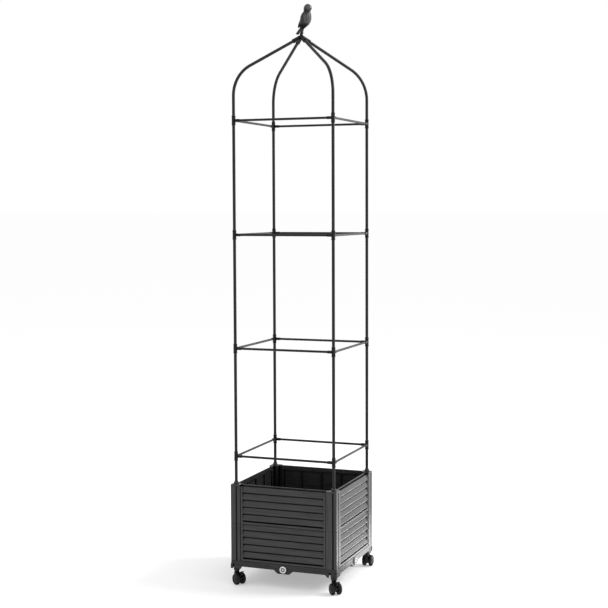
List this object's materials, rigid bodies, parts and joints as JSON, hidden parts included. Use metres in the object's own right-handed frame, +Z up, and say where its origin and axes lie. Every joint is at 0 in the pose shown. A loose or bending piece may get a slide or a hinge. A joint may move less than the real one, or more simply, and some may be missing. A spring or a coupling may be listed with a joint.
{
  "type": "planter with trellis",
  "caption": "Square planter box of stacked board-like panels and corner posts on swivel casters, with a tall four-pole trellis of ring bars, arched top and a perched bird finial.",
  "frame": {"origin": "on the floor under the middle of the box", "axes": "+Z up, -Y towards the front of the box, +X to the right of someone who faces that front"},
  "size_m": [0.4278, 0.4308, 2.013],
  "materials": {
    "box_plastic": "fine wood-grain texture, dark grey",
    "trellis_plastic": "satin black",
    "trellis_steel": "powder-coated black",
    "caster_plastic": "satin black",
    "caster_steel": "zinc plated",
    "plug_plastic": "off-white",
    "bird_metal": "dark bronze-grey, moulded feather grooves"
  },
  "bodies": {
    "planter": {"base_tray": "box_plastic", "soil_grid": "box_plastic", "post_caps": "box_plastic", "lower_post_front_left": "box_plastic", "lower_post_front_right": "box_plastic", "lower_post_back_right": "box_plastic", "lower_post_back_left": "box_plastic", "lower_panel_front": "box_plastic", "lower_panel_right": "box_plastic", "lower_panel_back": "box_plastic", "lower_panel_left": "box_plastic", "upper_post_front_left": "box_plastic", "upper_post_front_right": "box_plastic", "upper_post_back_right": "box_plastic", "upper_post_back_left": "box_plastic", "upper_panel_front": "box_plastic", "upper_panel_right": "box_plastic", "upper_panel_back": "box_plastic", "upper_panel_left": "box_plastic", "caster_stems": "caster_steel", "pole_sections_1": "trellis_steel", "ring_bars_1": "trellis_steel", "ring_connectors_1": "trellis_plastic", "pole_sections_2": "trellis_steel", "ring_bars_2": "trellis_steel", "ring_connectors_2": "trellis_plastic", "pole_sections_3": "trellis_steel", "ring_bars_3": "trellis_steel", "ring_connectors_3": "trellis_plastic", "pole_sections_4": "trellis_steel", "ring_bars_4": "trellis_steel", "ring_connectors_4": "trellis_plastic", "arch_rods": "trellis_steel", "trellis_hub": "trellis_plastic", "bird_finial": "bird_metal"},
    "swivel_front_left": {"caster_hood_front_left": "caster_plastic"},
    "wheel_pair_front_left": {"caster_wheels_front_left": "caster_plastic", "caster_axle_front_left": "caster_steel"},
    "brake_lever_front_left": {"caster_brake_front_left": "caster_plastic"},
    "swivel_front_right": {"caster_hood_front_right": "caster_plastic"},
    "wheel_pair_front_right": {"caster_wheels_front_right": "caster_plastic", "caster_axle_front_right": "caster_steel"},
    "brake_lever_front_right": {"caster_brake_front_right": "caster_plastic"},
    "swivel_back_right": {"caster_hood_back_right": "caster_plastic"},
    "wheel_pair_back_right": {"caster_wheels_back_right": "caster_plastic", "caster_axle_back_right": "caster_steel"},
    "brake_lever_back_right": {"caster_brake_back_right": "caster_plastic"},
    "swivel_back_left": {"caster_hood_back_left": "caster_plastic"},
    "wheel_pair_back_left": {"caster_wheels_back_left": "caster_plastic", "caster_axle_back_left": "caster_steel"},
    "brake_lever_back_left": {"caster_brake_back_left": "caster_plastic"},
    "plug_front": {"drain_plug_front": "plug_plastic"},
    "plug_right": {"drain_plug_right": "plug_plastic"},
    "plug_back": {"drain_plug_back": "plug_plastic"},
    "plug_left": {"drain_plug_left": "plug_plastic"}
  },
  "joints": [
    {"name": "swivel_front_left_turn", "type": "hinge", "parent": "planter", "child": "swivel_front_left", "pos_m": [-0.18, -0.18, 0.037], "axis": [0, 0, 1], "continuous": true},
    {"name": "wheel_pair_front_left_roll", "type": "hinge", "parent": "swivel_front_left", "child": "wheel_pair_front_left", "pos_m": [-0.16839, -0.18783, 0.0199], "axis": [0.5592, 0.829, 0], "continuous": true},
    {"name": "brake_lever_front_left_press", "type": "hinge", "parent": "swivel_front_left", "child": "brake_lever_front_left", "pos_m": [-0.15845, -0.19454, 0.031], "axis": [0.5592, 0.829, 0], "range_deg": [0, 18]},
    {"name": "swivel_front_right_turn", "type": "hinge", "parent": "planter", "child": "swivel_front_right", "pos_m": [0.18, -0.18, 0.037], "axis": [0, 0, 1], "continuous": true},
    {"name": "wheel_pair_front_right_roll", "type": "hinge", "parent": "swivel_front_right", "child": "wheel_pair_front_right", "pos_m": [0.18918, -0.19057, 0.0199], "axis": [0.7547, 0.6561, 0], "continuous": true},
    {"name": "brake_lever_front_right_press", "type": "hinge", "parent": "swivel_front_right", "child": "brake_lever_front_right", "pos_m": [0.19706, -0.19962, 0.031], "axis": [0.7547, 0.6561, 0], "range_deg": [0, 18]},
    {"name": "swivel_back_right_turn", "type": "hinge", "parent": "planter", "child": "swivel_back_right", "pos_m": [0.18, 0.18, 0.037], "axis": [0, 0, 1], "continuous": true},
    {"name": "wheel_pair_back_right_roll", "type": "hinge", "parent": "swivel_back_right", "child": "wheel_pair_back_right", "pos_m": [0.17927, 0.19398, 0.0199], "axis": [-0.9986, -0.0523, 0], "continuous": true},
    {"name": "brake_lever_back_right_press", "type": "hinge", "parent": "swivel_back_right", "child": "brake_lever_back_right", "pos_m": [0.17864, 0.20596, 0.031], "axis": [-0.9986, -0.0523, 0], "range_deg": [0, 18]},
    {"name": "swivel_back_left_turn", "type": "hinge", "parent": "planter", "child": "swivel_back_left", "pos_m": [-0.18, 0.18, 0.037], "axis": [0, 0, 1], "continuous": true},
    {"name": "wheel_pair_back_left_roll", "type": "hinge", "parent": "swivel_back_left", "child": "wheel_pair_back_left", "pos_m": [-0.18918, 0.19057, 0.0199], "axis": [-0.7547, -0.6561, 0], "continuous": true},
    {"name": "brake_lever_back_left_press", "type": "hinge", "parent": "swivel_back_left", "child": "brake_lever_back_left", "pos_m": [-0.19706, 0.19962, 0.031], "axis": [-0.7547, -0.6561, 0], "range_deg": [0, 18]},
    {"name": "plug_front_pull", "type": "slide", "parent": "planter", "child": "plug_front", "axis": [0, -1, 0], "range_m": [0, 0.02]},
    {"name": "plug_right_pull", "type": "slide", "parent": "planter", "child": "plug_right", "axis": [1, 0, 0], "range_m": [0, 0.02]},
    {"name": "plug_back_pull", "type": "slide", "parent": "planter", "child": "plug_back", "axis": [0, 1, 0], "range_m": [0, 0.02]},
    {"name": "plug_left_pull", "type": "slide", "parent": "planter", "child": "plug_left", "axis": [-1, 0, 0], "range_m": [0, 0.02]}
  ]
}
